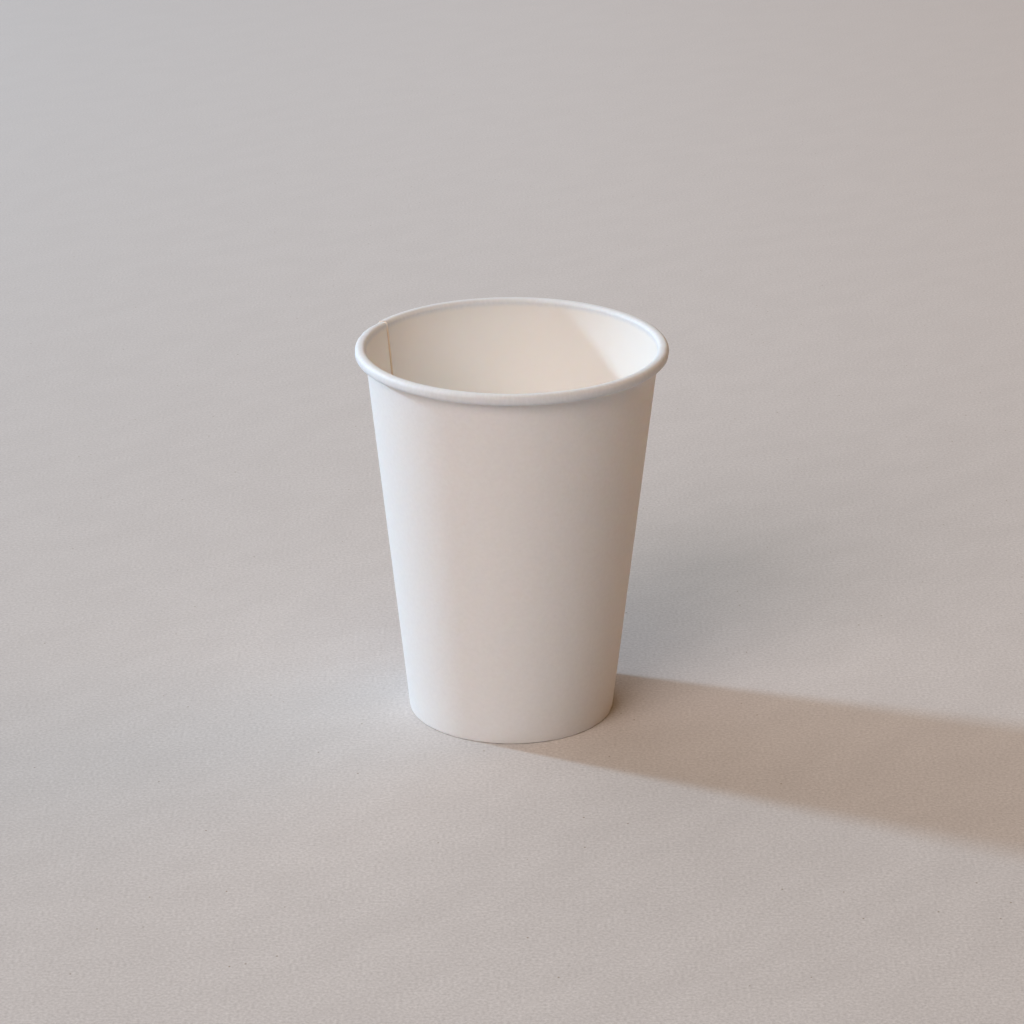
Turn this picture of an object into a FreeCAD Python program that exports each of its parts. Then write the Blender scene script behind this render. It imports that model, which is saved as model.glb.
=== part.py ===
import FreeCAD, Part
import Sketcher

import math
import os

# A paper drinking cup with a 90 mm brim, as used for a large hot drink. It is two pieces of coated
# board: a fan-shaped blank wound into a cone and sealed to itself along a lapped seam, and a round
# bottom whose edge is turned down and pinched in the hem that the wall's foot is folded into.
# The wall's top edge is rolled outward into the brim.
# The frame: millimetres, +Z up, the origin on the table under the middle of the cup. The viewer
# looks along +Y, with +X on the right.

SIZES = (
    ("cup_height", 112.0, "table to the top of the brim"),
    ("brim_radius", 45.0, "axis to the outside of the brim"),
    ("base_radius", 30.0, "axis to the wall's outer face, where that face meets the table"),
    ("board", 0.36, "thickness of the wall's board"),
    ("roll_radius", 1.6, "outside of the rolled brim, in section"),
    ("curl_gap", 0.15, "the tucked-in edge of the brim stays this far from the wall"),
    ("curl_end", 25.0, "how far the tucked-in edge turns up past level, in degrees"),
    ("hem_height", 7.5, "table to the upper edge of the hem inside the foot"),
    ("foot_round", 0.25, "outer corners of the folded foot"),
    ("disc_board", 0.3, "thickness of the bottom's board"),
    ("disc_rise", 9.0, "table to the underside of the bottom"),
    ("disc_bend", 0.5, "inside of the bend where the bottom turns down"),
    ("skirt_clear", 0.2, "the skirt's lower edge, above the middle of the fold"),
    ("glue_gap", 0.03, "between the skirt and the board on each side of it"),
    ("lap_width", 6.9, "overlap of the wall's seam, measured at the brim"),
    ("lap_press", 0.8, "how far the lapped layer stands off after sealing, in boards"),
    ("ramp_width", 10.0, "length in which the lapped layer comes back to round, at the brim"),
    ("seam_azimuth", 150.7, "the seam's inner cut edge, in degrees from +X towards +Y"),
)

FULL_TURN = 360
RAMP_SHARES = (0, 0.5, 1)
START, END, CENTRE = range(1, 4)
X_AXIS, Y_AXIS = range(-1, -3, -1)
ORIGIN_POINT = (X_AXIS, START)

doc = FreeCAD.newDocument("paper_cup")


def make_sheet():
    """The driving dimensions, one to a row: the name, the number and what it is."""
    made = doc.addObject("Spreadsheet::Sheet", "sizes")
    for row, (alias, number, meaning) in enumerate(SIZES, start=1):
        made.set(f"A{row}", alias)
        made.set(f"B{row}", str(number))
        made.set(f"C{row}", meaning)
        made.setAlias(f"B{row}", alias)
    doc.recompute()
    return made


sheet = make_sheet()


def size(alias):
    return float(sheet.get(alias))


def point(x, y):
    return FreeCAD.Vector(x, y, 0)


def polar(centre, radius, angle):
    return centre + point(math.cos(angle), math.sin(angle)) * radius


def line(start, end):
    return Part.LineSegment(start, end)


def circle(centre, radius):
    return Part.Circle(centre, FreeCAD.Vector(0, 0, 1), radius)


def arc(centre, radius, first, last):
    """An arc that runs counter-clockwise from the first angle to the last, in radians."""
    return Part.ArcOfCircle(circle(centre, radius), first, last)


def turn_of(width):
    """An expression for the degrees about the cup's axis that a length along the brim takes."""
    return f"sizes.{width} / sizes.brim_radius * 180 / pi"


class Wall:
    """The straight wall in section: the roll above it, its foot, its lean and its directions."""

    roll = size("roll_radius") - size("board")
    brim = point(size("brim_radius") - size("roll_radius"),
                 size("cup_height") - size("roll_radius"))
    foot = point(size("base_radius"), 0)
    reach = brim - foot
    tilt = math.acos(roll / reach.Length) - math.atan2(reach.y, reach.x)
    along = point(math.sin(tilt), math.cos(tilt))
    out = point(math.cos(tilt), -math.sin(tilt))


class Section:
    """One closed outline in a sketch: named lines and arcs that follow each other."""

    def __init__(self, body, name, azimuth="0"):
        self.sketch = body.newObject("Sketcher::SketchObject", name)
        plane = [part for part in body.Origin.OriginFeatures if part.Role == "XZ_Plane"][0]
        self.sketch.AttachmentSupport = [(plane, "")]
        self.sketch.MapMode = "FlatFace"
        turned = FreeCAD.Rotation(FreeCAD.Vector(0, 1, 0), 1)
        self.sketch.AttachmentOffset = FreeCAD.Placement(FreeCAD.Vector(), turned)
        self.sketch.setExpression("AttachmentOffset.Rotation.Angle", azimuth)
        self.number = {}
        self.ends = {}
        self.add_wall_guide()

    def add(self, name, geometry, reverse=False):
        """A piece of the outline. An arc that the outline follows clockwise is a reverse one."""
        self.number[name] = self.sketch.addGeometry(geometry, False)
        self.ends[name] = (END, START) if reverse else (START, END)

    def guide(self, name, geometry):
        self.number[name] = self.sketch.addGeometry(geometry, True)

    def refs(self, what):
        return [self.number.get(item, item) if isinstance(item, str) else item for item in what]

    def tie(self, kind, *what):
        """A relation without a size, between pieces or their points."""
        self.sketch.addConstraint(Sketcher.Constraint(kind, *self.refs(what)))

    def fix(self, label, expression, kind, *what):
        """A size that follows an expression of the driving dimensions."""
        number = self.sketch.evalExpression(expression)
        if hasattr(number, "getValueAs"):
            number = math.radians(number.Value)
        made = self.sketch.addConstraint(Sketcher.Constraint(kind, *self.refs(what), number))
        self.sketch.renameConstraint(made, label)
        self.sketch.setExpression(f"Constraints.{label}", expression)

    def join(self, corners):
        """Joins each piece to the next, smoothly except after the pieces named as corners."""
        names = list(self.ends)
        for name, after in zip(names, names[1:] + names[:1]):
            kind = "Coincident" if name in corners else "Tangent"
            self.tie(kind, name, self.ends[name][1], after, self.ends[after][0])

    def add_wall_guide(self):
        """The line of the wall's outer face, from the table to where the roll's inside touches."""
        self.guide("roll_guide", circle(Wall.brim, Wall.roll))
        self.guide("wall_guide", line(Wall.foot, Wall.brim - Wall.out * Wall.roll))
        self.fix("brim_across", "sizes.brim_radius - sizes.roll_radius",
                 "DistanceX", *ORIGIN_POINT, "roll_guide", CENTRE)
        self.fix("brim_up", "sizes.cup_height - sizes.roll_radius",
                 "DistanceY", *ORIGIN_POINT, "roll_guide", CENTRE)
        self.fix("guide_size", "sizes.roll_radius - sizes.board", "Radius", "roll_guide")
        self.fix("base_across", "sizes.base_radius",
                 "DistanceX", *ORIGIN_POINT, "wall_guide", START)
        self.tie("PointOnObject", "wall_guide", START, X_AXIS)
        self.tie("Tangent", "wall_guide", END, "roll_guide")


def wall_section(body, name, share, azimuth):
    """The board in section, from the hem to the curl. A share of 0 is the single layer, and a
    share of 1 is the layer that laps it: outside the wall, inside the roll and around the fold.
    """
    board = size("board")
    raised = f"sizes.board * sizes.lap_press * {share}"
    lift = board * size("lap_press") * share
    section = Section(body, name, azimuth)

    roll_out = size("roll_radius") - lift
    roll_in = roll_out - board
    curl_out = size("roll_radius") - board - size("curl_gap") - lift
    tuck = Wall.brim - point(0, roll_out - curl_out)
    curl_in = curl_out - board
    turned = math.pi - math.radians(size("curl_end"))

    inside = size("disc_board") / 2 + size("glue_gap") + lift
    up = inside + board
    slot = board + size("disc_board") / 2 + size("glue_gap")
    fold = point(Wall.foot.x + (up * math.sin(Wall.tilt) - slot) / math.cos(Wall.tilt), up)
    hem_low = fold - Wall.out * inside
    hem_top = hem_low + Wall.along * ((size("hem_height") - hem_low.y) / Wall.along.y)

    # The foot's two corners: each circle touches the table and a face of the board.
    foot = size("foot_round")
    sink = (up - foot) * math.sin(Wall.tilt)
    toe = point(fold.x + (up - foot - sink) / math.cos(Wall.tilt), foot)
    heel = point(fold.x - (up - foot + sink) / math.cos(Wall.tilt), foot)

    left, down = math.pi, math.pi * 3 / 2
    hem_side, wall_side = left - Wall.tilt, -Wall.tilt
    section.add("hem_face", line(hem_top - Wall.out * board, heel - Wall.out * foot))
    section.add("heel", arc(heel, foot, hem_side, down))
    section.add("sole", line(point(heel.x, 0), point(toe.x, 0)))
    section.add("toe", arc(toe, foot, down, wall_side + 2 * math.pi))
    section.add("outer_face", line(toe + Wall.out * foot, Wall.brim - Wall.out * roll_in))
    section.add("roll_inside", arc(Wall.brim, roll_in, down - 2 * math.pi, hem_side), reverse=True)
    section.add("curl_inside", arc(tuck, curl_in, turned, down), reverse=True)
    section.add("curl_edge", line(polar(tuck, curl_in, turned), polar(tuck, curl_out, turned)))
    section.add("curl_outside", arc(tuck, curl_out, turned, down))
    section.add("roll_outside", arc(Wall.brim, roll_out, down - 2 * math.pi, hem_side))
    section.add("inner_face", line(Wall.brim - Wall.out * roll_out, fold + Wall.out * inside))
    section.add("fold_inside", arc(fold, inside, hem_side, wall_side + 2 * math.pi), reverse=True)
    section.add("hem_back", line(hem_low, hem_top))
    section.add("hem_edge", line(hem_top, hem_top - Wall.out * board))
    section.join(corners=("curl_inside", "curl_edge", "hem_back", "hem_edge"))

    section.tie("Coincident", "roll_outside", CENTRE, "roll_guide", CENTRE)
    section.tie("Coincident", "roll_inside", CENTRE, "roll_guide", CENTRE)
    section.fix("roll_size", f"sizes.roll_radius - {raised}", "Radius", "roll_outside")
    section.fix("roll_bore", f"sizes.roll_radius - sizes.board - {raised}", "Radius", "roll_inside")
    section.tie("Coincident", "curl_inside", CENTRE, "curl_outside", CENTRE)
    section.tie("Vertical", "curl_outside", CENTRE, "roll_guide", CENTRE)
    section.fix("curl_size", f"sizes.roll_radius - sizes.board - sizes.curl_gap - {raised}",
                "Radius", "curl_outside")
    section.tie("PointOnObject", "curl_outside", CENTRE, "curl_edge")
    section.fix("curl_turn", "180 deg - sizes.curl_end * 1 deg", "Angle", "curl_edge")
    section.tie("Parallel", "outer_face", "wall_guide")
    section.tie("Parallel", "inner_face", "wall_guide")
    section.tie("Parallel", "hem_back", "wall_guide")
    section.tie("Parallel", "hem_face", "wall_guide")
    section.tie("Perpendicular", "hem_edge", "hem_back")
    section.fix("hem_board", "sizes.board", "Distance", "hem_edge")
    section.fix("hem_up", "sizes.hem_height", "DistanceY", *ORIGIN_POINT, "hem_back", END)
    section.fix("fold_size", f"sizes.disc_board / 2 + sizes.glue_gap + {raised}",
                "Radius", "fold_inside")
    section.fix("fold_up", f"sizes.disc_board / 2 + sizes.glue_gap + sizes.board + {raised}",
                "DistanceY", *ORIGIN_POINT, "fold_inside", CENTRE)
    section.fix("toe_size", "sizes.foot_round", "Radius", "toe")
    section.fix("heel_size", "sizes.foot_round", "Radius", "heel")
    section.tie("PointOnObject", "sole", START, X_AXIS)
    section.tie("Horizontal", "sole")
    return section.sketch


def check_section(sketch):
    """A section that its sizes leave loose, or that they contradict, stops the build."""
    doc.recompute()
    if sketch.DoF or sketch.ConflictingConstraints or sketch.RedundantConstraints:
        raise RuntimeError(f"{sketch.Name} isn't fully and plainly constrained")


def turn(body, name, sketch, angle, reverse=False):
    """Turns a section about the cup's axis."""
    made = body.newObject("PartDesign::Revolution", name)
    made.Profile = sketch
    made.ReferenceAxis = (sketch, ["V_Axis"])
    made.Reversed = reverse
    made.setExpression("Angle", angle)
    doc.recompute()
    return made


def make_side_wall():
    """The cone of board: a single layer most of the way round, then the layer that laps it."""
    body = doc.addObject("PartDesign::Body", "side_wall")
    sections = []
    for count, share in enumerate(RAMP_SHARES):
        azimuth = f"sizes.seam_azimuth + {turn_of('ramp_width')} * {1 - share}"
        sections.append(wall_section(body, f"layer_section_{count}", share, azimuth))
        check_section(sections[-1])
    turn(body, "single_layer", sections[0], f"{FULL_TURN} - {turn_of('ramp_width')}")
    ramp = body.newObject("PartDesign::AdditiveLoft", "lap_ramp")
    ramp.Profile = sections[0]
    ramp.Sections = sections[1:]
    doc.recompute()
    turn(body, "lap", sections[-1], turn_of("lap_width"), reverse=True)
    return body


def make_bottom_disc():
    """The round bottom: a flat panel, a bend and a skirt that leans as the wall does."""
    body = doc.addObject("PartDesign::Body", "bottom_disc")
    section = Section(body, "disc_section")
    board, bend = size("disc_board"), size("disc_bend")
    offset = bend + board
    inset = size("board") + size("glue_gap") + offset
    up = size("disc_rise") - bend
    centre = point(Wall.foot.x + (up * math.sin(Wall.tilt) - inset) / math.cos(Wall.tilt), up)
    low = size("disc_board") / 2 + size("glue_gap") + size("board") + size("skirt_clear")
    outer_high = centre + Wall.out * offset
    outer_low = outer_high + Wall.along * ((low - outer_high.y) / Wall.along.y)
    inner_low = outer_low - Wall.out * board
    wall_side, top = -Wall.tilt, math.pi / 2

    section.add("panel_under", line(point(0, size("disc_rise")), centre + point(0, bend)))
    section.add("bend_inside", arc(centre, bend, wall_side, top), reverse=True)
    section.add("skirt_inside", line(centre + Wall.out * bend, inner_low))
    section.add("skirt_edge", line(inner_low, outer_low))
    section.add("skirt_outside", line(outer_low, outer_high))
    section.add("bend_outside", arc(centre, offset, wall_side, top))
    section.add("panel_top", line(centre + point(0, offset), point(0, size("disc_rise") + board)))
    section.add("middle", line(point(0, size("disc_rise") + board), point(0, size("disc_rise"))))
    section.join(corners=("skirt_inside", "skirt_edge", "panel_top", "middle"))

    section.tie("PointOnObject", "middle", START, Y_AXIS)
    section.tie("PointOnObject", "middle", END, Y_AXIS)
    section.tie("Horizontal", "panel_under")
    section.tie("Horizontal", "panel_top")
    section.fix("panel_up", "sizes.disc_rise", "DistanceY", *ORIGIN_POINT, "middle", END)
    section.fix("panel_board", "sizes.disc_board", "Distance", "middle")
    section.fix("bend_size", "sizes.disc_bend", "Radius", "bend_inside")
    section.tie("Coincident", "bend_outside", CENTRE, "bend_inside", CENTRE)
    section.tie("Parallel", "skirt_outside", "wall_guide")
    section.tie("Parallel", "skirt_inside", "wall_guide")
    section.fix("skirt_place", "sizes.board + sizes.glue_gap",
                "Distance", "skirt_outside", START, "wall_guide")
    section.tie("Perpendicular", "skirt_edge", "skirt_outside")
    section.fix("skirt_up",
                "sizes.disc_board / 2 + sizes.glue_gap + sizes.board + sizes.skirt_clear",
                "DistanceY", *ORIGIN_POINT, "skirt_outside", START)
    check_section(section.sketch)
    turn(body, "disc", section.sketch, str(FULL_TURN))
    return body


def check_and_write(bodies):
    """Each piece has to be one sound solid before its file is written."""
    os.makedirs("parts", exist_ok=True)
    doc.recompute()
    for made in doc.Objects:
        if "Invalid" in made.State or "Error" in made.State:
            raise RuntimeError(f"{made.Name} failed: {made.State}")
    for body in bodies:
        shape = body.Shape
        if shape.isNull() or not shape.isValid() or len(shape.Solids) != 1:
            raise RuntimeError(f"{body.Label} isn't one sound solid")
        box = shape.optimalBoundingBox(True, False)
        print(f"{body.Label}: {shape.Volume:.1f} mm3, x {box.XMin:.2f} to {box.XMax:.2f},",
              f"y {box.YMin:.2f} to {box.YMax:.2f}, z {box.ZMin:.2f} to {box.ZMax:.2f}")
        shape.exportStep(f"parts/{body.Label}.step")


check_and_write([make_side_wall(), make_bottom_disc()])
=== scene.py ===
# %% [markdown]
# # A paper coffee cup
#
# The cup is two pieces of coated board. The **side wall** is one blank, wound into a cone and
# sealed to itself along a lapped seam, with its top edge curled outward into the brim and its foot
# folded inward into a hem. The **bottom disc** is pinched in that hem by its turned-down skirt.
#
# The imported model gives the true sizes. This script adds what paper looks like: a real thickness
# with raw cut edges, the small unevenness of a rolled brim, the felt-like face of the uncoated
# board, and the smoother coated face inside.

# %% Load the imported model
import math

import bmesh
import bpy
import numpy as np
from mathutils import Matrix, Vector


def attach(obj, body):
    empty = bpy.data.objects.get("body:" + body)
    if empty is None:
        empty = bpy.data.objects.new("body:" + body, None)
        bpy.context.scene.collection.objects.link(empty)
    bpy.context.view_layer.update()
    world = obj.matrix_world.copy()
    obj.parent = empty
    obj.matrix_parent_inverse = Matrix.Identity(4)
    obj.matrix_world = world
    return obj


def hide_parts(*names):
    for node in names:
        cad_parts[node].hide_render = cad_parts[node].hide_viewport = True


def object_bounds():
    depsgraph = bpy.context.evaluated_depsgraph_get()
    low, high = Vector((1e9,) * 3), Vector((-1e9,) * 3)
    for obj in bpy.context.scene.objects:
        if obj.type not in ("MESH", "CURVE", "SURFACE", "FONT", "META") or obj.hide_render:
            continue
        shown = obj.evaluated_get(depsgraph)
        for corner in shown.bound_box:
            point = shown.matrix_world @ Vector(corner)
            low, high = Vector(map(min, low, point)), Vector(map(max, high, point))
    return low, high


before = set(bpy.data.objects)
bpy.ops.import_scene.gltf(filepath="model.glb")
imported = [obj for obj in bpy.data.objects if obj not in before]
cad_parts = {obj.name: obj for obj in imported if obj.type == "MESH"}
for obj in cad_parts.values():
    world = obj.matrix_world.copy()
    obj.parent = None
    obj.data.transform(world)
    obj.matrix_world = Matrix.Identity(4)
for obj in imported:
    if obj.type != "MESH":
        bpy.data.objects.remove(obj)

cad_low, cad_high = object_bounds()
print("CAD box, mm:", [round(side * 1000, 2) for side in cad_high - cad_low])

# %% [markdown]
# ## Sizes
#
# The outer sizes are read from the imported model, so that the visible cup can't drift away from it.
# What its box doesn't show, such as the board's thickness, is named here in millimetres, and
# turned into metres once. Blender works in metres, and a paper cup is a small thing in them, so
# every later step uses these names.

# %% Sizes
MM = 0.001
BRIM_RADIUS = cad_high.x
CUP_HEIGHT = cad_high.z
BASE_RADIUS = 30.0 * MM
BOARD = 0.36 * MM
ROLL_RADIUS = 1.6 * MM
CURL_GAP = 0.15 * MM
CURL_END = math.radians(25)
HEM_HEIGHT = 7.5 * MM
DISC_BOARD = 0.3 * MM
DISC_RISE = 9.0 * MM
DISC_BEND = 0.5 * MM
SKIRT_CLEAR = 0.2 * MM
GLUE_GAP = 0.03 * MM
SEAM_AZIMUTH = math.radians(150.7)
LAP_WIDTH, RAMP_WIDTH = 6.9 * MM, 10.0 * MM
LAP_TURN, RAMP_TURN = LAP_WIDTH / BRIM_RADIUS, RAMP_WIDTH / BRIM_RADIUS
LAP_PRESS = 0.9
LAP_SEAL = 0.005 * MM

roll_inset = ROLL_RADIUS - BOARD
reach_across = BRIM_RADIUS - ROLL_RADIUS - BASE_RADIUS
reach_up = CUP_HEIGHT - ROLL_RADIUS
WALL_TILT = (math.acos(roll_inset / math.hypot(reach_across, reach_up))
             - math.atan2(reach_up, reach_across))
print("brim", round(2 * BRIM_RADIUS / MM, 2), "mm across, wall leans",
      round(math.degrees(WALL_TILT), 2), "degrees")

# %% [markdown]
# ## Camera
#
# The camera comes before the pieces, so that each one can be judged in the photograph's own frame
# as soon as it exists. The distance and the lens were found together by fitting the brim's ellipse
# and the foot's arc: a nearer camera with a wider lens would open the brim's ellipse too far
# against the height of the wall.

# %% Camera
AIM = Vector((0.091, 0.0, 60.503)) * MM
DISTANCE = 1067.85 * MM
ELEVATION = math.radians(21.201)
ROLL = math.radians(-0.111)
SENSOR_WIDTH_MM = 36.0
FRAME_PIXELS = 1024
FOCAL_PIXELS = 3668.55


def add_camera():
    camera = bpy.data.objects.new("camera", bpy.data.cameras.new("camera"))
    bpy.context.scene.collection.objects.link(camera)
    camera.data.sensor_width = SENSOR_WIDTH_MM
    camera.data.lens = FOCAL_PIXELS / FRAME_PIXELS * SENSOR_WIDTH_MM
    camera.data.clip_start, camera.data.clip_end = 0.05, 20.0
    forward = Vector((0, math.cos(ELEVATION), -math.sin(ELEVATION)))
    tilt = Matrix.Rotation(math.pi / 2 - ELEVATION, 4, "X") @ Matrix.Rotation(-ROLL, 4, "Z")
    camera.matrix_world = Matrix.Translation(AIM - forward * DISTANCE) @ tilt
    bpy.context.scene.camera = camera
    print("lens", round(camera.data.lens, 1), "mm, camera at",
          [round(part, 3) for part in camera.location])


add_camera()

# %% [markdown]
# ## Paper, as a shader
#
# Uncoated board isn't one flat white. Its fibres lie in small clouds, which show as a faint
# mottling, its face is slightly felted, which breaks up raking light, and here and there a darker
# fibre has got in. All the faces of the board share these effects, and the paper on the floor does
# too, so they are made once, as two node groups, and each material sets how strong they are.
# Object coordinates keep the pattern's true scale on every piece.
#
# An image of paper could do the same, but it would need a seam somewhere round the cup, and it
# would blur in a close view. Noise has neither fault.

# %% Helpers for materials and node trees
def principled(material):
    return next(node for node in material.node_tree.nodes if node.type == "BSDF_PRINCIPLED")


def new_material(name):
    material = bpy.data.materials.new(name)
    material.use_nodes = True
    return material


def new_object(name, mesh):
    made = bpy.data.objects.new(name, mesh)
    bpy.context.scene.collection.objects.link(made)
    return made


def place_node(tree, kind, inputs=None, **settings):
    """Adds a node. An input is given by name or number, as a value or as the socket that feeds it."""
    made = tree.nodes.new(kind)
    made.location = (200 * (len(tree.nodes) % 12), -260 * (len(tree.nodes) // 12))
    for name, value in settings.items():
        setattr(made, name, value)
    for socket, value in (inputs or {}).items():
        if isinstance(value, bpy.types.NodeSocket):
            tree.links.new(value, made.inputs[socket])
        else:
            made.inputs[socket].default_value = value
    return made


def maths(tree, operation, first, second=0.0):
    return place_node(tree, "ShaderNodeMath", {0: first, 1: second}, operation=operation).outputs[0]


def scaled(tree, vector, factor):
    return place_node(tree, "ShaderNodeVectorMath", {0: vector, "Scale": factor},
                      operation="SCALE").outputs[0]


def eased(tree, value, low, high, at_low=0.0, at_high=1.0):
    """Runs smoothly from one number to another while the value goes from low to high."""
    return place_node(tree, "ShaderNodeMapRange",
                      {"Value": value, "From Min": low, "From Max": high, "To Min": at_low,
                       "To Max": at_high}, interpolation_type="SMOOTHSTEP").outputs[0]


def blended(tree, factor, first, second):
    """Mixes two colours, each given as three numbers or as a socket."""
    mix = place_node(tree, "ShaderNodeMix", {"Factor": factor}, data_type="RGBA")
    for number, colour in ((6, first), (7, second)):
        if isinstance(colour, bpy.types.NodeSocket):
            tree.links.new(colour, mix.inputs[number])
        else:
            mix.inputs[number].default_value = (*colour, 1)
    return mix.outputs[2]


def add_input(group, name, kind, usual=None):
    socket = group.interface.new_socket(name, in_out="INPUT", socket_type="NodeSocket" + kind)
    if usual is not None:
        socket.default_value = usual
    return socket


def add_output(group, name, kind="Float"):
    group.interface.new_socket(name, in_out="OUTPUT", socket_type="NodeSocket" + kind)


# %% [markdown]
# Both groups take a place on the board in metres, so their sizes are real ones. The grain is two
# layers of noise, a cloudy one and a finer felted one. A fleck is the middle of a Voronoi cell,
# and each cell's own random colour settles whether it holds one.

# %% The board's grain and its flecks, as node groups
def make_grain_group():
    """Puts out a cloudy factor and a height, from a place on the board in metres."""
    group = bpy.data.node_groups.new("board_grain", "ShaderNodeTree")
    add_input(group, "Place", "Vector")
    add_input(group, "Cloud Size", "Float", 1.6 * MM)
    add_input(group, "Felt Size", "Float", 0.55 * MM)
    add_output(group, "Cloud")
    add_output(group, "Height")
    given = group.nodes.new("NodeGroupInput").outputs
    layers = []
    for size, detail in (("Cloud Size", 3.0), ("Felt Size", 2.0)):
        scale = maths(group, "DIVIDE", 1.0, given[size])
        layers.append(place_node(group, "ShaderNodeTexNoise",
                                 {"Vector": given["Place"], "Scale": scale, "Detail": detail,
                                  "Roughness": 0.6}).outputs[0])
    height = maths(group, "ADD", maths(group, "MULTIPLY", layers[0], 0.4),
                   maths(group, "MULTIPLY", layers[1], 0.6))
    place_node(group, "NodeGroupOutput", {"Cloud": layers[0], "Height": height})
    return group


def make_fleck_group():
    """Puts out 1 on a dark fibre and 0 elsewhere. Only some cells of the pattern hold one."""
    group = bpy.data.node_groups.new("fibre_flecks", "ShaderNodeTree")
    add_input(group, "Place", "Vector")
    add_input(group, "Spacing", "Float", 6 * MM)
    add_input(group, "Fleck Size", "Float", 0.15 * MM)
    add_input(group, "Share", "Float", 0.2)
    add_output(group, "Fleck")
    given = group.nodes.new("NodeGroupInput").outputs
    scale = maths(group, "DIVIDE", 1.0, given["Spacing"])
    cells = place_node(group, "ShaderNodeTexVoronoi", {"Vector": given["Place"], "Scale": scale})
    reach = maths(group, "MULTIPLY", cells.outputs["Distance"], given["Spacing"])
    near = maths(group, "LESS_THAN", reach, given["Fleck Size"])
    lot = place_node(group, "ShaderNodeSeparateColor", {0: cells.outputs["Color"]}).outputs[0]
    chosen = maths(group, "LESS_THAN", lot, given["Share"])
    place_node(group, "NodeGroupOutput", {"Fleck": maths(group, "MULTIPLY", near, chosen)})
    return group


grain_group, fleck_group = make_grain_group(), make_fleck_group()
print("groups:", grain_group.name, fleck_group.name)


# %% [markdown]
# A material takes both groups with its own sizes and share. It gets a colour and a height from
# them: the height is for a bump, because relief this shallow needs no mesh.

# %% Grain in a material
FLECK_COLOUR = (0.30, 0.25, 0.20)


def place_grain(tree, place, cloud_size, felt_size):
    return place_node(tree, "ShaderNodeGroup",
                      {"Place": place, "Cloud Size": cloud_size, "Felt Size": felt_size},
                      node_tree=grain_group).outputs


def add_grain(material, light, dark, cloud_size, felt_size, fleck_share, fleck_size=0.13 * MM,
              fleck_spacing=6 * MM):
    """Adds the grain and the flecks. Returns the tree, the colour and the height."""
    tree = material.node_tree
    place = place_node(tree, "ShaderNodeTexCoord").outputs["Object"]
    grain = place_grain(tree, place, cloud_size, felt_size)
    fleck = place_node(tree, "ShaderNodeGroup",
                       {"Place": place, "Share": fleck_share, "Fleck Size": fleck_size,
                        "Spacing": fleck_spacing}, node_tree=fleck_group).outputs["Fleck"]
    board = blended(tree, grain["Cloud"], dark, light)
    return tree, blended(tree, fleck, board, FLECK_COLOUR), grain["Height"]

# %% [markdown]
# ## Floor
#
# A cup photographed on plain paper needs a floor and nothing else. The floor is wide enough that
# its edge stays out of every view. Its paper has the same grain and flecks as board has, only
# coarser, and a slow mottling that lies aslant, as the fibres of a big sheet do. Light and shade are
# painted into its colour: painted light makes it a little paler with distance, as a sheet is that
# bends up towards the light, and painted shade makes it greyer to the left.
# From below it can be seen through, so that the foot can be looked at.

# %% Floor
FLOOR_LIGHT, FLOOR_DARK = (0.81, 0.785, 0.775), (0.36, 0.337, 0.327)
# Painted light: the floor's colour is made paler far away.
FLOOR_PAINTED_LIGHT = (0.745, 0.721, 0.717)
FLOOR_PAINTED_LIGHT_FROM, FLOOR_PAINTED_LIGHT_TO = -0.15, 1.60
FLOOR_DRIFT, FLOOR_DRIFT_SIZE = 0.10, 12 * MM
FLOOR_DRIFT_LIES, FLOOR_DRIFT_STRETCH = math.radians(45), 2.0
# Painted shade: the floor's colour is made greyer to the left.
FLOOR_PAINTED_SHADE_FROM, FLOOR_PAINTED_SHADE_TO, FLOOR_PAINTED_SHADE = 0.05, -0.30, 0.24
FLOOR_RELIEF = 0.04 * MM
FLOOR_HALF = 4.0


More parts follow.
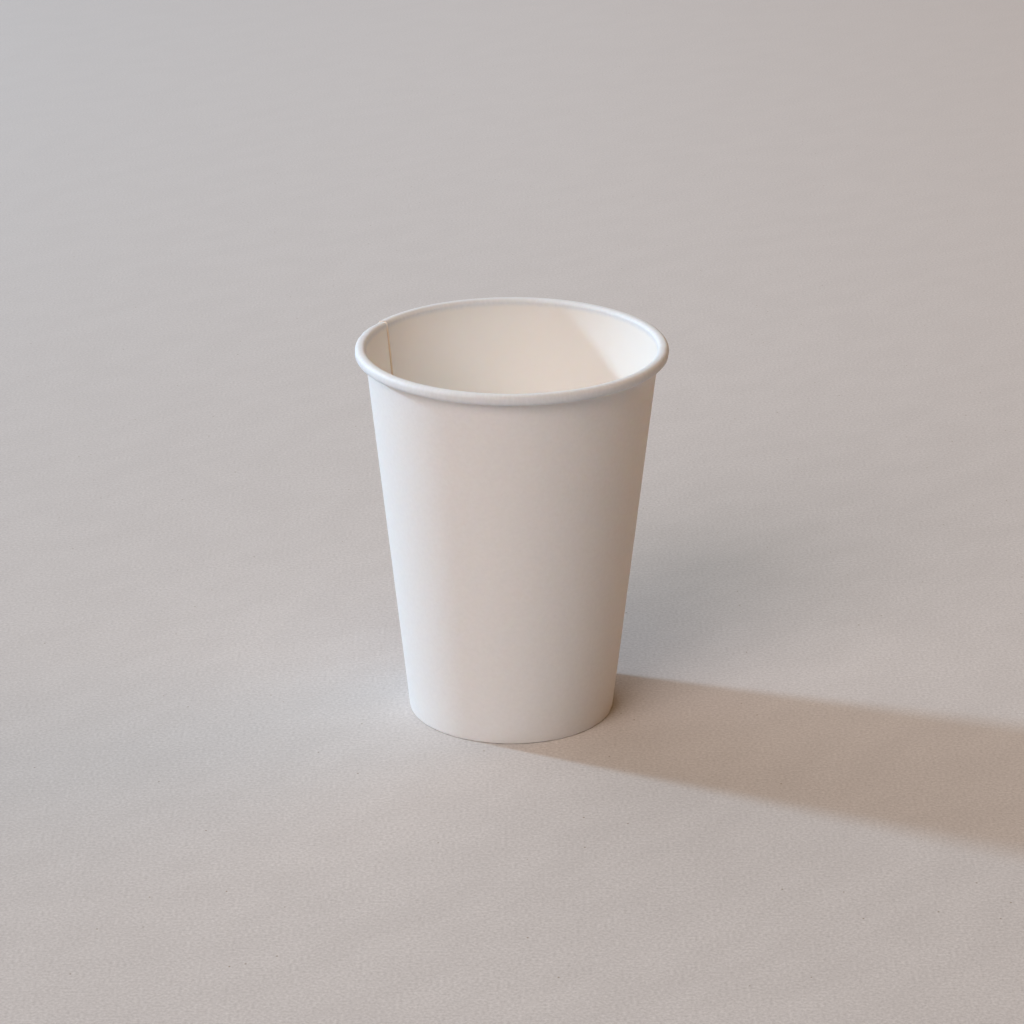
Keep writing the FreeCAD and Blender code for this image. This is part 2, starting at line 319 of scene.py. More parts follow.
def make_floor_paper(name):
    material = new_material(name)
    tree, near, height = add_grain(material, FLOOR_LIGHT, FLOOR_DARK, cloud_size=0.9 * MM,
                                   felt_size=0.4 * MM, fleck_share=0.12, fleck_size=0.3 * MM,
                                   fleck_spacing=4 * MM)
    place = place_node(tree, "ShaderNodeTexCoord").outputs["Object"]
    across, away = place_node(tree, "ShaderNodeSeparateXYZ", {0: place}).outputs[:2]
    # Painted light: how much paler the floor is painted with distance.
    painted_far_light = place_node(tree, "ShaderNodeMapRange",
                     {"Value": away, "From Min": FLOOR_PAINTED_LIGHT_FROM,
                      "From Max": FLOOR_PAINTED_LIGHT_TO}).outputs[0]
    lying = place_node(tree, "ShaderNodeMapping",
                       {"Vector": place, "Rotation": (0, 0, FLOOR_DRIFT_LIES),
                        "Scale": (FLOOR_DRIFT_STRETCH, 1, 1)}, vector_type="TEXTURE").outputs[0]
    drift = place_node(tree, "ShaderNodeTexNoise",
                       {"Vector": lying, "Scale": 1 / FLOOR_DRIFT_SIZE, "Detail": 2.0}).outputs[0]
    uneven = blended(tree, eased(tree, drift, 0.3, 0.7, 0.0, FLOOR_DRIFT), near, FLOOR_DARK)
    shader = principled(material)
    # Painted shade: how much greyer the floor is painted to the left.
    painted_left_shade = eased(tree, across, FLOOR_PAINTED_SHADE_TO, FLOOR_PAINTED_SHADE_FROM, FLOOR_PAINTED_SHADE, 0.0)
    paper = blended(tree, painted_left_shade, blended(tree, painted_far_light, uneven, FLOOR_PAINTED_LIGHT), FLOOR_DARK)
    tree.links.new(paper, shader.inputs["Base Color"])
    bump = place_node(tree, "ShaderNodeBump", {"Height": height, "Distance": FLOOR_RELIEF})
    tree.links.new(bump.outputs["Normal"], shader.inputs["Normal"])
    shader.inputs["Roughness"].default_value = 0.9
    from_below = place_node(tree, "ShaderNodeNewGeometry").outputs["Backfacing"]
    clear = place_node(tree, "ShaderNodeBsdfTransparent").outputs[0]
    mix = place_node(tree, "ShaderNodeMixShader",
                     {0: from_below, 1: shader.outputs["BSDF"], 2: clear}).outputs[0]
    output = next(node for node in tree.nodes if node.type == "OUTPUT_MATERIAL")
    tree.links.new(mix, output.inputs["Surface"])
    return material


def add_floor():
    corners = [(-FLOOR_HALF, -FLOOR_HALF, 0), (FLOOR_HALF, -FLOOR_HALF, 0),
               (FLOOR_HALF, FLOOR_HALF, 0), (-FLOOR_HALF, FLOOR_HALF, 0)]
    mesh = bpy.data.meshes.new("floor")
    mesh.from_pydata(corners, [], [(0, 1, 2, 3)])
    mesh.materials.append(make_floor_paper("floor_paper"))
    new_object("floor", mesh)


add_floor()
print("floor:", 2 * FLOOR_HALF, "m square")

# %% [markdown]
# ## Light
#
# Five lamps make the picture. A small cool lamp, low behind the cup's left shoulder, draws the
# long shadow, and lights the wall's left edge and the far side of the inside. A large warm lamp at
# the front left makes the soft shadow behind the cup. A very wide one at the back left lifts the
# floor and the brim, and one high up at the front lights the floor in front of the foot. Neither
# is straight overhead, because the leaning wall would then shade the floor at its own foot. A
# weak, deep orange one at the right stands for light that has bounced about a room.
# A lamp's size sets how soft its shadow is, and its distance sets how fast the light falls off
# over the floor. Each lamp's power and colour were found by rendering it alone, and then looking
# for the mix that comes nearest to the photograph.

# %% Lamps and world
def add_lamp(name, azimuth, elevation, distance, size, power, colour):
    """A round lamp that faces the cup. Azimuth 0 is +X, and 90 is +Y, away from the camera."""
    lamp = bpy.data.lights.new(name, "AREA")
    lamp.shape = "DISK"
    lamp.size = size
    lamp.energy = power
    lamp.color = colour
    made = new_object(name, lamp)
    turn, lift = math.radians(azimuth), math.radians(elevation)
    aside = Vector((math.cos(turn) * math.cos(lift), math.sin(turn) * math.cos(lift),
                    math.sin(lift)))
    target = Vector((0, 0, CUP_HEIGHT / 2))
    made.location = target + aside * distance
    made.rotation_euler = aside.to_track_quat("Z", "Y").to_euler()


def set_world(colour, strength):
    world = bpy.data.worlds.new("room")
    world.use_nodes = True
    background = world.node_tree.nodes["Background"]
    background.inputs["Color"].default_value = (*colour, 1)
    background.inputs["Strength"].default_value = strength
    bpy.context.scene.world = world


add_lamp("cool_key", azimuth=158.2, elevation=24, distance=2.0, size=0.18, power=25.8,
         colour=(0.55, 0.79, 1.0))
add_lamp("warm_fill", azimuth=239, elevation=36, distance=3.0, size=1.9, power=45,
         colour=(1.0, 0.865, 0.83))
add_lamp("wide_back", azimuth=126, elevation=36, distance=3.2, size=4.3, power=44.5,
         colour=(1.0, 0.96, 0.96))
add_lamp("high_front", azimuth=250, elevation=68, distance=3.0, size=2.5, power=20.7,
         colour=(1.0, 0.86, 0.63))
add_lamp("orange_right", azimuth=20, elevation=30, distance=1.8, size=1.2, power=4.8,
         colour=(1.0, 0.46, 0.12))
set_world(colour=(1.0, 0.62, 0.40), strength=0.01)
bpy.context.scene.view_settings.view_transform = "Standard"
print("lamps, W:", {lamp.name: round(lamp.energy, 1) for lamp in bpy.data.lights})

# %% [markdown]
# ## The faces of the board
#
# The wall carries a coordinate of its own, called **blank**: how far round the flat blank a point
# lies, how far along the section, and how deep in the board. A finish that follows the making of
# the cup reads it. The coated face has fine creases across it on the roll, and there its colour is
# painted cooler and greyer, as a painted cool reflection and painted shade. The cut edge shows a pale
# film, a brown core and a pale skin, and beside it a narrow tan band is painted, partly as shade in
# the corner there and partly as a glue stain.
#
# Paper also lets a little light through, and softens what falls on it. A little subsurface
# scattering, with a reach of about the board's thickness, gives that, because the wall is a closed
# shell with a real thickness. More of it gave coloured noise on the thin roll.

# %% Materials of the board
LIGHT_THROUGH = 0.12
LIGHT_REACH = (1.0, 0.6, 0.4)
LIGHT_REACH_SCALE = 0.8 * MM
# Beside the seam's edge a tan band is painted, partly as shade in the corner there and partly as a
# glue stain.
SEAM_SHADE_AND_STAIN_COLOUR, SEAM_SHADE_AND_STAIN_REACH = (0.80, 0.62, 0.44), 0.5 * MM
UNCOATED_SHADES = (0.91, 0.905, 0.90), (0.83, 0.823, 0.816)
COATED_SHADES = (0.94, 0.921, 0.893), (0.925, 0.903, 0.870)
# The roll's colours, cooler and greyer than the coated face's: a painted cool reflection and painted
# shade.
ROLL_PAINTED_REFLECTION_AND_SHADE = (0.78, 0.808, 0.842), (0.815, 0.842, 0.877)
STAINED_CORE = (0.86, 0.67, 0.47), (0.97, 0.82, 0.65)
PLAIN_CORE = (0.74, 0.68, 0.60), (0.86, 0.81, 0.75)
EDGE_SKIN = (0.84, 0.82, 0.80)
UNCOATED_RELIEF, COATED_RELIEF, EDGE_RELIEF = 0.032 * MM, 0.008 * MM, 0.02 * MM
COATED_ROUGHNESS, ROLL_ROUGHER = 0.42, 0.12
CREASE_WIDTH, CREASE_LENGTH, CREASE_STRENGTH = 0.9 * MM, 2.2 * MM, 1.2


def finish_board(material, colour, height, relief, roughness):
    """Joins a colour and a height to the shader, and lets a little light through."""
    tree, shader = material.node_tree, principled(material)
    bump = place_node(tree, "ShaderNodeBump",
                      {"Height": height, "Distance": relief, "Strength": 1.0})
    tree.links.new(colour, shader.inputs["Base Color"])
    tree.links.new(bump.outputs["Normal"], shader.inputs["Normal"])
    if isinstance(roughness, bpy.types.NodeSocket):
        tree.links.new(roughness, shader.inputs["Roughness"])
    else:
        shader.inputs["Roughness"].default_value = roughness
    shader.inputs["Subsurface Weight"].default_value = LIGHT_THROUGH
    shader.inputs["Subsurface Radius"].default_value = LIGHT_REACH
    shader.inputs["Subsurface Scale"].default_value = LIGHT_REACH_SCALE


def blank_parts(tree):
    """The wall's own coordinate: round the blank, along the section, and depth in the board."""
    blank = place_node(tree, "ShaderNodeAttribute", attribute_name="blank").outputs["Vector"]
    return place_node(tree, "ShaderNodeSeparateXYZ", {0: blank}).outputs


# %% [markdown]
# The outer face is bare board: clouded, felted and dull. The coated face has the same board under
# a film, which evens the grain out and gives it a soft sheen.

# %% The uncoated and the coated face
def make_uncoated(name):
    material = new_material(name)
    _, colour, height = add_grain(material, *UNCOATED_SHADES, cloud_size=1.2 * MM,
                                  felt_size=0.6 * MM, fleck_share=0.06)
    finish_board(material, colour, height, UNCOATED_RELIEF, roughness=0.85)
    return material


def add_coated_grain(material):
    """The grain of a coated face, which the film has evened out."""
    return add_grain(material, *COATED_SHADES, cloud_size=2.6 * MM, felt_size=0.8 * MM,
                     fleck_share=0.04)


def make_coated(name):
    material = new_material(name)
    _, colour, height = add_coated_grain(material)
    finish_board(material, colour, height, COATED_RELIEF, COATED_ROUGHNESS)
    return material


# %% [markdown]
# Inside the wall the coated face has three more things to show: the tan band at the seam, partly
# painted shade in the corner beside the edge and partly a glue stain, the creases on the roll, and
# the cool reflection and shade painted on the roll. All are drawn in the blank's own coordinate, so
# they stay at the edge and on the roll at any size.

# %% The coated face of the wall
# The mask of the tan band at the seam: partly painted shade, partly glue stain.
def seam_shade_and_stain(tree, blank, roll_start, blank_length):
    """1 beside the seam's edge and half along it, fading out towards the roll."""
    to_foot_of_edge = maths(tree, "ABSOLUTE",
                            maths(tree, "SUBTRACT", blank["X"], blank_length - LAP_WIDTH))
    beside = eased(tree, to_foot_of_edge, 0.1 * MM, SEAM_SHADE_AND_STAIN_REACH, 1.0, 0.0)
    along_edge = eased(tree, blank["X"], 0.2 * MM, SEAM_SHADE_AND_STAIN_REACH, 0.5, 0.0)
    below = eased(tree, blank["Y"], roll_start - 2 * MM, roll_start + 1 * MM, 1.0, 0.2)
    return maths(tree, "MULTIPLY", maths(tree, "MAXIMUM", beside, along_edge), below)


def crease_pattern(tree, blank):
    """Noise that is drawn out along the section, as board wrinkles when it is curled."""
    place = place_node(tree, "ShaderNodeCombineXYZ",
                       {"X": maths(tree, "MULTIPLY", blank["X"], 1 / CREASE_WIDTH),
                        "Y": maths(tree, "MULTIPLY", blank["Y"], 1 / CREASE_LENGTH)}).outputs[0]
    return place_node(tree, "ShaderNodeTexNoise",
                      {"Vector": place, "Scale": 1.0, "Detail": 2.0}).outputs[0]


def make_wall_coated(name, roll_start, blank_length):
    """As the disc's, but creased on the roll, where a cool reflection and shade are painted, and with
    a tan band beside the seam's edge that is partly painted shade and partly a glue stain.
    """
    material = new_material(name)
    tree, colour, height = add_coated_grain(material)
    blank = blank_parts(tree)
    wobble = maths(tree, "MULTIPLY", maths(tree, "SUBTRACT", height, 0.5), 1.2 * MM)
    on_roll = eased(tree, maths(tree, "ADD", blank["Y"], wobble), roll_start - 1.2 * MM,
                    roll_start + 0.6 * MM)
    crease = crease_pattern(tree, blank)
    creases = maths(tree, "MULTIPLY", maths(tree, "MULTIPLY", crease, on_roll), CREASE_STRENGTH)
    # Painted cool reflection and painted shade on the roll, darker where the creases sink.
    roll_painted_reflection_and_shade = blended(tree, eased(tree, crease, 0.35, 0.7), *ROLL_PAINTED_REFLECTION_AND_SHADE)
    faced = blended(tree, on_roll, colour, roll_painted_reflection_and_shade)
    # The tan band at the seam: partly painted shade, partly glue stain.
    shade_and_stain = seam_shade_and_stain(tree, blank, roll_start, blank_length)
    finish_board(material, blended(tree, shade_and_stain, faced, SEAM_SHADE_AND_STAIN_COLOUR),
                 maths(tree, "ADD", height, creases), COATED_RELIEF,
                 roughness=maths(tree, "ADD", COATED_ROUGHNESS,
                                 maths(tree, "MULTIPLY", on_roll, ROLL_ROUGHER)))
    return material


# %% [markdown]
# The raw edge shows what board is made of. The depth in the board, the third part of blank, tells
# the film and the skin from the core between them.

# %% The cut edge
def make_cut_edge(name, blank_length, roll_start):
    """The raw edge: film, core and skin. The core is browner at the inner end of the winding."""
    material = new_material(name)
    tree = material.node_tree
    place = place_node(tree, "ShaderNodeTexCoord").outputs["Object"]
    height = place_grain(tree, place, cloud_size=0.5 * MM, felt_size=0.15 * MM)["Height"]
    blank = blank_parts(tree)
    inner_end = eased(tree, blank["X"], 0.1 * blank_length, 0.9 * blank_length, 1.0, 0.0)
    below_roll = eased(tree, blank["Y"], roll_start - 2 * MM, roll_start, 1.0, 0.15)
    stained = maths(tree, "MULTIPLY", inner_end, below_roll)
    core = blended(tree, stained, blended(tree, height, *PLAIN_CORE),
                   blended(tree, height, *STAINED_CORE))
    skin = eased(tree, maths(tree, "ABSOLUTE", maths(tree, "SUBTRACT", blank["Z"], 0.5)),
                 0.40, 0.47)
    finish_board(material, blended(tree, skin, core, EDGE_SKIN), height, EDGE_RELIEF,
                 roughness=0.9)
    return material


# %% [markdown]
# ## The wall's section
#
# Cut the cup through its axis, and the wall is a single line: down the hem, round the fold, up the
# straight wall, over the roll and into the curl. The coated face is drawn as such a line, one
# point for each row of the mesh. Each point remembers which way the other face of the board lies
# from it, how far along the section it is, and whether it is on the hem. Arcs get many short steps
# and the straight wall gets few.

# %% The line of the coated face
HEM_ROWS, FOLD_ROWS, WALL_ROWS, ROLL_ROWS, CURL_ROWS = 8, 10, 26, 32, 12
FOOT_LIFT = 0.02 * MM
ROLL_SQUARENESS = 2.6


def wall_direction():
    along = np.array((math.sin(WALL_TILT), math.cos(WALL_TILT)))
    out = np.array((math.cos(WALL_TILT), -math.sin(WALL_TILT)))
    return along, out


def straight(start, end, count):
    """Points from start towards end, without the end, which the next stretch begins with."""
    share = np.linspace(0, 1, count, endpoint=False)[:, None]
    return np.array(start) * (1 - share) + np.array(end) * share


def bend(centre, radius, first, last, count, closed=False, squareness=2.0):
    """Points round an arc. A squareness above 2 fills its four corners, as in a superellipse."""
    angle = np.linspace(first, last, count, endpoint=closed)
    spoke = np.stack((np.cos(angle), np.sin(angle)), axis=1)
    swell = (np.abs(spoke) ** squareness).sum(axis=1, keepdims=True) ** (-1 / squareness)
    return np.array(centre) + spoke * radius * swell, spoke


def wall_line():
    """The coated face from hem to curl, and the way from it to the uncoated face."""
    along, out = wall_direction()
    fold_inside = DISC_BOARD / 2 + GLUE_GAP
    fold_up = fold_inside + BOARD
    slot = BOARD + fold_inside
    fold = np.array((BASE_RADIUS + (fold_up * math.sin(WALL_TILT) - slot) / math.cos(WALL_TILT),
                     fold_up))
    roll = np.array((BRIM_RADIUS - ROLL_RADIUS, CUP_HEIGHT - ROLL_RADIUS))
    curl_radius = ROLL_RADIUS - BOARD - CURL_GAP
    curl = roll - np.array((0, ROLL_RADIUS - curl_radius))
    hem_low = fold - out * fold_inside
    hem_top = hem_low + along * ((HEM_HEIGHT - hem_low[1]) / along[1])
    wall_low, wall_top = fold + out * fold_inside, roll - out * ROLL_RADIUS
    hem_side, wall_side = math.pi - WALL_TILT, 2 * math.pi - WALL_TILT

    hem_line = straight(hem_top, hem_low, HEM_ROWS)
    fold_line, fold_out = bend(fold, fold_inside, hem_side, wall_side, FOLD_ROWS)
    up_line = straight(wall_low, wall_top, WALL_ROWS)
    roll_line, roll_out = bend(roll, ROLL_RADIUS, hem_side, -math.pi / 2, ROLL_ROWS,
                               squareness=ROLL_SQUARENESS)
    curl_line, curl_out = bend(curl, curl_radius, -math.pi / 2, -math.pi - CURL_END, CURL_ROWS,
                               closed=True)
    line = np.concatenate((hem_line, fold_line, up_line, roll_line, curl_line))
    outward = np.concatenate((np.tile(-out, (HEM_ROWS, 1)), fold_out,
                              np.tile(out, (WALL_ROWS, 1)), -roll_out, -curl_out))
    return line, outward


def make_section(name, line, outward, along):
    """A mesh of one row of points, with its three notes kept at each point."""
    mesh = bpy.data.meshes.new(name)
    rows = len(line)
    points = [(across, 0, up) for across, up in line]
    mesh.from_pydata(points, [(row, row + 1) for row in range(rows - 1)], [])
    side = mesh.attributes.new("outward", "FLOAT_VECTOR", "POINT")
    vectors = np.zeros((rows, 3))
    vectors[:, 0], vectors[:, 2] = outward[:, 0], outward[:, 1]
    side.data.foreach_set("vector", vectors.ravel())
    hem = (np.arange(rows) > 0) & (np.arange(rows) < HEM_ROWS - 1)
    for note, values in (("along", along), ("hem", hem.astype(float))):
        mesh.attributes.new(note, "FLOAT", "POINT").data.foreach_set("value", values)
    return new_object(name, mesh)


section_line, section_outward = wall_line()
section_along = np.concatenate(([0], np.cumsum(np.hypot(*np.diff(section_line, axis=0).T))))
ROLL_START = section_along[HEM_ROWS + FOLD_ROWS + WALL_ROWS]
side_wall = make_section("cup_wall", section_line, section_outward, section_along)
print("the section has", len(section_line), "rows and is", round(section_along[-1] / MM, 1),
      "mm long, with the roll from", round(ROLL_START / MM, 1), "mm")

# %% [markdown]
# ## Winding the wall
#
# The wall could be a lathed curve with a Solidify modifier, but a real wall isn't closed on
# itself: it begins at one cut edge and ends, a little over a full turn later, at the other one,
# lying on its own start. So Geometry Nodes do what the cup machine does. They start from a flat
# slab of board, with a column for each step of the winding, a row for each point of the section,
# and two layers for the two faces. Each point of the slab is then sent to its place: its row gives
# the place in the section, its layer gives the depth in the board, and its column gives the turn.
# Over the last stretch of the turn the board climbs on to its own start, which leaves the step
# that shows inside the cup.

# %% What makes a wound cup uneven
BRIM_INSET = 0.06 * MM
OVAL = 0.24 * MM
OVAL_AZIMUTH = math.radians(45)
WANDER, WANDER_SIZE = 0.10 * MM, 26 * MM
ROLL_RIPPLE, ROLL_RIPPLE_SIZE = 0.10 * MM, 3.2 * MM
ROLL_DENTS = ((math.radians(168), 0.14 * MM), (math.radians(183), 0.10 * MM),
              (math.radians(355), 0.12 * MM))
DENT_TURN = math.radians(1.3)
KNURLS, KNURL_DEPTH = 80, 0.07 * MM
FREE_FROM = 0.12 * CUP_HEIGHT


def turn_about_axis(tree, across, up, azimuth):
    """A place from its distance to the cup's axis, its height and its azimuth."""
    x = maths(tree, "MULTIPLY", across, maths(tree, "COSINE", azimuth))
    y = maths(tree, "MULTIPLY", across, maths(tree, "SINE", azimuth))
    return place_node(tree, "ShaderNodeCombineXYZ", {"X": x, "Y": y, "Z": up}).outputs[0]


def noise_about_zero(tree, place, size):
    noise = place_node(tree, "ShaderNodeTexNoise",
                       {"Vector": place, "Scale": 1 / size, "Detail": 1.0}).outputs[0]
    return maths(tree, "SUBTRACT", noise, 0.5)


def add_unevenness(tree, given, azimuth, up):
    """How far a point leaves the true cone: an oval brim, a wandering wall, a rippled roll."""
    round_wall = turn_about_axis(tree, BRIM_RADIUS, up, azimuth)
    turn = maths(tree, "MULTIPLY", maths(tree, "SUBTRACT", azimuth, OVAL_AZIMUTH), 2.0)
    oval = maths(tree, "MULTIPLY", maths(tree, "COSINE", turn), given["Oval"])
    wander = maths(tree, "MULTIPLY", noise_about_zero(tree, round_wall, WANDER_SIZE),
                   given["Wander"])
    ripple = maths(tree, "MULTIPLY", noise_about_zero(tree, round_wall, ROLL_RIPPLE_SIZE),
                   given["Roll Ripple"])
    free = eased(tree, up, FREE_FROM, CUP_HEIGHT)
    on_roll = eased(tree, up, CUP_HEIGHT - 2.5 * ROLL_RADIUS, CUP_HEIGHT - 1.2 * ROLL_RADIUS)
    for dent_azimuth, depth in ROLL_DENTS:
        facing = maths(tree, "COSINE", maths(tree, "SUBTRACT", azimuth, dent_azimuth))
        pressed = eased(tree, facing, math.cos(2 * DENT_TURN), 1.0, 0.0, depth)
        ripple = maths(tree, "SUBTRACT", ripple, pressed)
    loose = maths(tree, "SUBTRACT", maths(tree, "ADD", oval, wander), BRIM_INSET)
    return maths(tree, "ADD", maths(tree, "MULTIPLY", loose, free),
                 maths(tree, "MULTIPLY", ripple, on_roll))


def add_lap(tree, given, wound):
    """The board's lift off its true place and its thinning where it is pressed in the lap."""
    ramp_start = maths(tree, "SUBTRACT", 2 * math.pi, given["Ramp Turn"])
    climb = eased(tree, wound, ramp_start, 2 * math.pi)
    clear_of_lap = maths(tree, "ADD", given["Lap Turn"], 0.2 * RAMP_TURN)
    under = eased(tree, wound, given["Lap Turn"], clear_of_lap, 1.0, 0.0)
    pressed = maths(tree, "MULTIPLY", maths(tree, "MAXIMUM", climb, under), 1 - LAP_PRESS)
    thickness = maths(tree, "MULTIPLY", given["Board"], maths(tree, "SUBTRACT", 1.0, pressed))
    step = maths(tree, "ADD", maths(tree, "MULTIPLY", given["Board"], LAP_PRESS), LAP_SEAL)
    return maths(tree, "MULTIPLY", climb, step), thickness, climb


# %% [markdown]
# The group below is the winding itself. Its inputs are the sizes a maker would change: the
# board's thickness, the lap, the seam's place, and how uneven the cup is. It ends by making the
# result real and by giving each face of the board its material.

# %% Node group that winds the blank
COLUMNS = 490
FOOT_PRESS_HEIGHT = 2.5 * MM


def sample_row(tree, section, value, row, kind="FLOAT"):
    return place_node(tree, "GeometryNodeSampleIndex",
                      {"Geometry": section, "Value": value, "Index": row},
                      data_type=kind, domain="POINT").outputs[0]


def named(tree, name, kind="FLOAT"):
    return place_node(tree, "GeometryNodeInputNamedAttribute", {"Name": name},
                      data_type=kind).outputs[0]


def dress(tree, real, given):
    """Gives the two faces and the raw edges their materials, by the depth kept on each face."""
    depth = named(tree, "layer")
    real = place_node(tree, "GeometryNodeSetMaterial",
                      {"Geometry": real, "Material": given["Cut Edge"]}).outputs[0]
    for operation, level, name in (("LESS_THAN", 0.1, "Coated Face"),
                                   ("GREATER_THAN", 0.9, "Uncoated Face")):
        chosen = place_node(tree, "FunctionNodeCompare", {"A": depth, "B": level},
                            data_type="FLOAT", operation=operation).outputs[0]
        real = place_node(tree, "GeometryNodeSetMaterial",
                          {"Geometry": real, "Selection": chosen,
                           "Material": given[name]}).outputs[0]
    return real


def make_winding_group():
    group = bpy.data.node_groups.new("wind_the_blank", "GeometryNodeTree")
    add_input(group, "Section", "Geometry")
    for name, usual in (("Board", BOARD), ("Lap Turn", LAP_TURN), ("Ramp Turn", RAMP_TURN),
                        ("Seam Azimuth", SEAM_AZIMUTH), ("Foot Press Height", FOOT_PRESS_HEIGHT),
                        ("Foot Lift", FOOT_LIFT), ("Oval", OVAL), ("Wander", WANDER),
                        ("Roll Ripple", ROLL_RIPPLE), ("Knurl Depth", KNURL_DEPTH)):
        add_input(group, name, "Float", usual)
    add_input(group, "Columns", "Int", COLUMNS)
    for name in ("Coated Face", "Uncoated Face", "Cut Edge"):
        add_input(group, name, "Material")
    add_output(group, "Cup", "Geometry")
    given = group.nodes.new("NodeGroupInput").outputs
    section = given["Section"]

    rows = place_node(group, "GeometryNodeAttributeDomainSize",
                      {"Geometry": section}).outputs["Point Count"]
    slab = place_node(group, "GeometryNodeMeshCube",
                      {"Size": (1, 1, 1), "Vertices X": given["Columns"], "Vertices Y": rows,
                       "Vertices Z": 2}).outputs["Mesh"]
    here = place_node(group, "GeometryNodeInputPosition").outputs[0]
    share = place_node(group, "ShaderNodeVectorMath", {0: here, 1: (0.5, 0.5, 0.5)},
                       operation="ADD").outputs[0]
    parts = place_node(group, "ShaderNodeSeparateXYZ", {0: share}).outputs
    row = maths(group, "ROUND", maths(group, "MULTIPLY", parts["Y"],
                                      maths(group, "SUBTRACT", rows, 1.0)))
    coated = sample_row(group, section, here, row, "FLOAT_VECTOR")
    side = sample_row(group, section, named(group, "outward", "FLOAT_VECTOR"), row,
                      "FLOAT_VECTOR")
    along = sample_row(group, section, named(group, "along"), row)
    hem = sample_row(group, section, named(group, "hem"), row)

    whole_turn = maths(group, "ADD", 2 * math.pi, given["Lap Turn"])
    wound = maths(group, "MULTIPLY", maths(group, "SUBTRACT", 1.0, parts["X"]), whole_turn)
    azimuth = maths(group, "SUBTRACT", given["Seam Azimuth"], wound)
    lift, thickness, climb = add_lap(group, given, wound)

    wave = maths(group, "COSINE", maths(group, "MULTIPLY", azimuth, KNURLS))
    knurl = maths(group, "MULTIPLY", eased(group, wave, 0.0, 1.0), given["Knurl Depth"])
    thinned = maths(group, "SUBTRACT", thickness, maths(group, "MULTIPLY", knurl, hem))
    depth = maths(group, "ADD", maths(group, "MULTIPLY", parts["Z"], thinned), lift)
    placed = place_node(group, "ShaderNodeVectorMath",
                        {0: coated, 1: scaled(group, side, depth)}).outputs[0]
    flat = place_node(group, "ShaderNodeSeparateXYZ", {0: placed}).outputs
    low = place_node(group, "ShaderNodeSeparateXYZ", {0: coated}).outputs["Z"]
    press = eased(group, low, BOARD, given["Foot Press Height"], 1.0, 0.0)
    rest = maths(group, "MULTIPLY", given["Foot Lift"], maths(group, "SUBTRACT", 1.0, climb))
    up = maths(group, "ADD", flat["Z"],
               maths(group, "MULTIPLY", press, maths(group, "ADD", lift, rest)))
    across = maths(group, "ADD", flat["X"], add_unevenness(group, given, azimuth, low))

    blank = place_node(group, "ShaderNodeCombineXYZ",
                       {"X": maths(group, "MULTIPLY", wound, BRIM_RADIUS), "Y": along,
                        "Z": parts["Z"]}).outputs[0]
    kept = slab
    for name, value, kind, domain in (("layer", parts["Z"], "FLOAT", "FACE"),
                                      ("blank", blank, "FLOAT_VECTOR", "POINT")):
        kept = place_node(group, "GeometryNodeStoreNamedAttribute",
                          {"Geometry": kept, "Name": name, "Value": value},
                          data_type=kind, domain=domain).outputs["Geometry"]
    moved = place_node(group, "GeometryNodeSetPosition",
                       {"Geometry": kept,
                        "Position": turn_about_axis(group, across, up, azimuth)}).outputs[0]
    smooth = place_node(group, "GeometryNodeSetShadeSmooth", {0: moved}).outputs[0]
    real = place_node(group, "GeometryNodeRealizeInstances", {0: smooth}).outputs[0]
    place_node(group, "NodeGroupOutput", {0: dress(group, real, given)})
    return group


# %% [markdown]
# The modifier is run once, and its result is kept as the wall's own mesh, so that what leaves this
# file is a plain mesh without a modifier. The edges of the board are marked sharp by their angle,
# and the volume of board that the winding left is printed.

# %% Wind the wall and keep it as a plain mesh
def set_inputs(modifier, group, values):
    """A modifier's inputs are set by the sockets' identifiers, which their names are looked up for."""
    for item in group.interface.items_tree:
        if item.item_type == "SOCKET" and item.in_out == "INPUT" and item.name in values:
            modifier[item.identifier] = values[item.name]


def bake_nodes(target, group, values):
    """Runs a node group on an object, and leaves the result as the object's own plain mesh."""
    modifier = target.modifiers.new("nodes", "NODES")
    modifier.node_group = group
    set_inputs(modifier, group, values)
    made = bpy.data.meshes.new_from_object(
        target.evaluated_get(bpy.context.evaluated_depsgraph_get()))
    target.modifiers.remove(modifier)
    made.name = target.name
    target.data = made


def volume_of(mesh):
    solid = bmesh.new()
    solid.from_mesh(mesh)
    inside = solid.calc_volume(signed=True)
    solid.free()
    return inside


SHARP_ANGLE = math.radians(50)
WALL_BLANK = (2 * math.pi + LAP_TURN) * BRIM_RADIUS
outer_face = make_uncoated("uncoated_board")
wall_inner_face = make_wall_coated("coated_board_wall", ROLL_START, WALL_BLANK)
cut_edge = make_cut_edge("cut_edge", WALL_BLANK, ROLL_START)
bake_nodes(side_wall, make_winding_group(),
           {"Coated Face": wall_inner_face, "Uncoated Face": outer_face, "Cut Edge": cut_edge})
side_wall.data.set_sharp_from_angle(angle=SHARP_ANGLE)
side_wall.data.calc_loop_triangles()
print("faces of the wall:", [face.name for face in side_wall.data.materials if face])
print("wall:", len(side_wall.data.loop_triangles), "triangles,",
      round(volume_of(side_wall.data) / MM ** 3), "mm3 of board")

# %% [markdown]
# ## The bottom disc
#
# The bottom is a plain round punching, with its edge drawn down into a skirt. It is turned from
# one closed outline with Spin: the outline starts and ends on the axis, so that merging the
# doubled points there closes both poles. The skirt leans as the wall does, because it lies between
# the wall and the hem. A flat disc that is drawn down has too much edge, which goes into small
# pleats at the bend, so the points near it are lowered in a wave. The coated side is up, to the
# drink, and the uncoated side is below.

# %% Turn the disc
DISC_STEPS = 480
BEND_STEPS = 8
DISC_RINGS = 12
PLEATS, PLEAT_DEPTH, PLEAT_LENGTH = 80, 0.05 * MM, 1.6 * MM


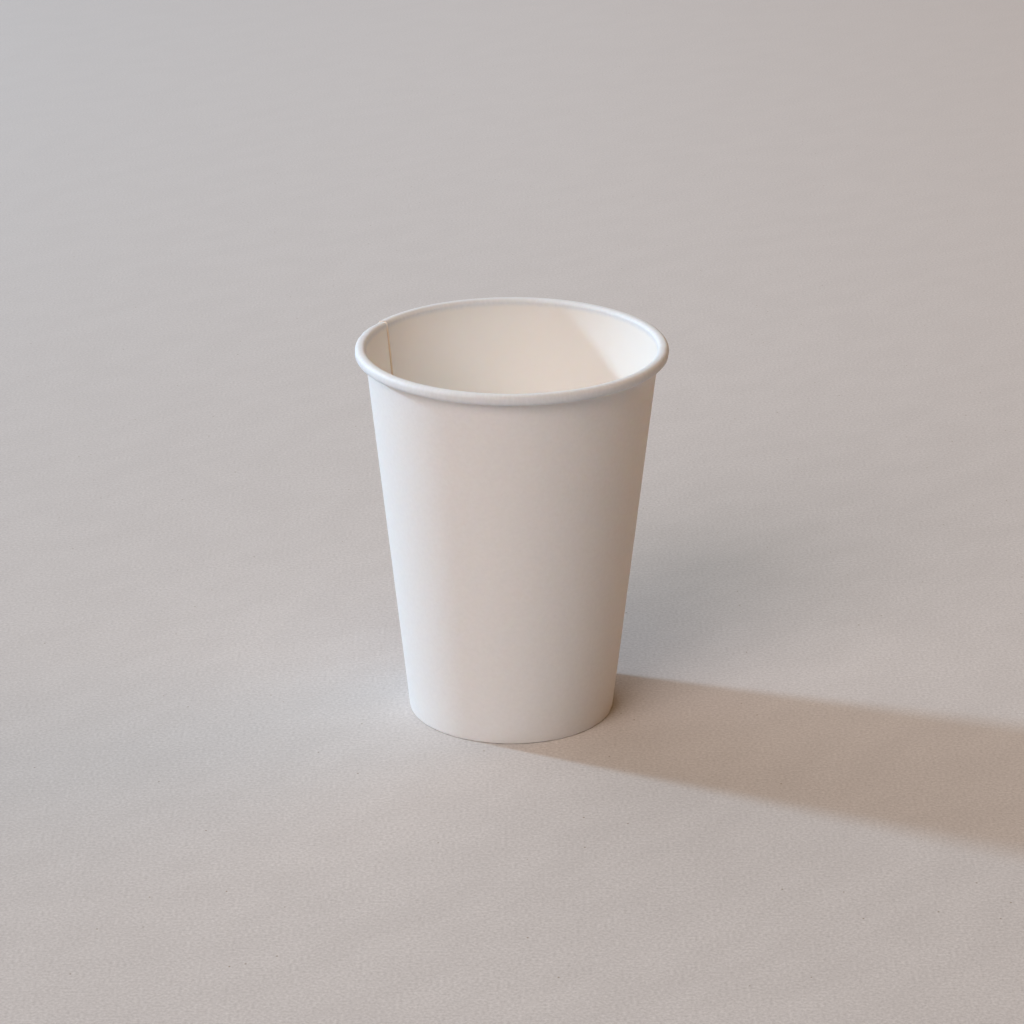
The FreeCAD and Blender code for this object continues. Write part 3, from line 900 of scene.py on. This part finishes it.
def disc_outline():
    """Closed outline of the disc: underside, skirt, edge, and back over the top to the axis."""
    along, out = wall_direction()
    up = DISC_RISE - DISC_BEND
    inset = BOARD + GLUE_GAP + DISC_BEND + DISC_BOARD
    centre = np.array((BASE_RADIUS + (up * math.sin(WALL_TILT) - inset) / math.cos(WALL_TILT), up))
    edge_up = DISC_BOARD / 2 + GLUE_GAP + BOARD + SKIRT_CLEAR
    high = centre + out * (DISC_BEND + DISC_BOARD)
    outer_low = high + along * ((edge_up - high[1]) / along[1])
    inner_low = outer_low - out * DISC_BOARD
    inner_bend, _ = bend(centre, DISC_BEND, math.pi / 2, -WALL_TILT, BEND_STEPS, closed=True)
    outer_bend, _ = bend(centre, DISC_BEND + DISC_BOARD, -WALL_TILT, math.pi / 2, BEND_STEPS,
                         closed=True)
    rings = np.linspace(0, centre[0], DISC_RINGS, endpoint=False)
    under = [(ring, DISC_RISE) for ring in rings]
    over = [(ring, DISC_RISE + DISC_BOARD) for ring in rings[::-1]]
    return [*under, *inner_bend, inner_low, outer_low, *outer_bend, *over]


def turn_outline(name, outline, steps):
    solid = bmesh.new()
    ring = [solid.verts.new((across, 0, up)) for across, up in outline]
    edges = [solid.edges.new(pair) for pair in zip(ring, ring[1:])]
    bmesh.ops.spin(solid, geom=[*ring, *edges], cent=(0, 0, 0), axis=(0, 0, 1),
                   angle=2 * math.pi, steps=steps)
    bmesh.ops.remove_doubles(solid, verts=solid.verts, dist=0.001 * MM)
    bmesh.ops.recalc_face_normals(solid, faces=solid.faces)
    for face in solid.faces:
        face.smooth = True
        face.material_index = disc_finish(face)
    press_pleats(solid)
    mesh = bpy.data.meshes.new(name)
    solid.to_mesh(mesh)
    solid.free()
    return mesh


def disc_finish(face):
    """0 on the coated side, 1 on the uncoated side, 2 on the raw edge of the skirt."""
    middle = face.calc_center_median()
    out = Vector((middle.x, middle.y, 0)).normalized() + Vector((0, 0, 1))
    if face.normal.dot(out) > 0:
        return 0
    return 2 if middle.z < 2 * BOARD + DISC_BOARD and face.normal.z < -0.8 else 1


def press_pleats(solid):
    """Lowers the bend in a wave, more here and less there, so that the pleats look gathered."""
    bend_radius = max(math.hypot(*vert.co.xy) for vert in solid.verts if vert.co.z > DISC_RISE)
    for vert in solid.verts:
        turn = math.atan2(vert.co.y, vert.co.x)
        near = (math.hypot(*vert.co.xy) - bend_radius + PLEAT_LENGTH) / PLEAT_LENGTH
        if near > 0 and vert.co.z > DISC_RISE - DISC_BEND:
            gathered = 0.6 + 0.4 * math.cos(5 * turn + 2.0 * math.cos(3 * turn))
            wave = 0.5 + 0.5 * math.cos(PLEATS * turn)
            vert.co.z -= PLEAT_DEPTH * gathered * wave * min(near, 1.0) ** 2


bottom_disc = new_object("cup_bottom", turn_outline("cup_bottom", disc_outline(), DISC_STEPS))
for finish in (make_coated("coated_board_disc"), outer_face, cut_edge):
    bottom_disc.data.materials.append(finish)
bottom_disc.data.set_sharp_from_angle(angle=SHARP_ANGLE)
bottom_disc.data.calc_loop_triangles()
print("bottom:", len(bottom_disc.data.loop_triangles), "triangles,",
      round(volume_of(bottom_disc.data) / MM ** 3), "mm3 of board")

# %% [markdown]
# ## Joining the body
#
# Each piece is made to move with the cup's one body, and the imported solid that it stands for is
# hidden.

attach(side_wall, "root")
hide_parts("side_wall")
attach(bottom_disc, "root")
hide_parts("bottom_disc")
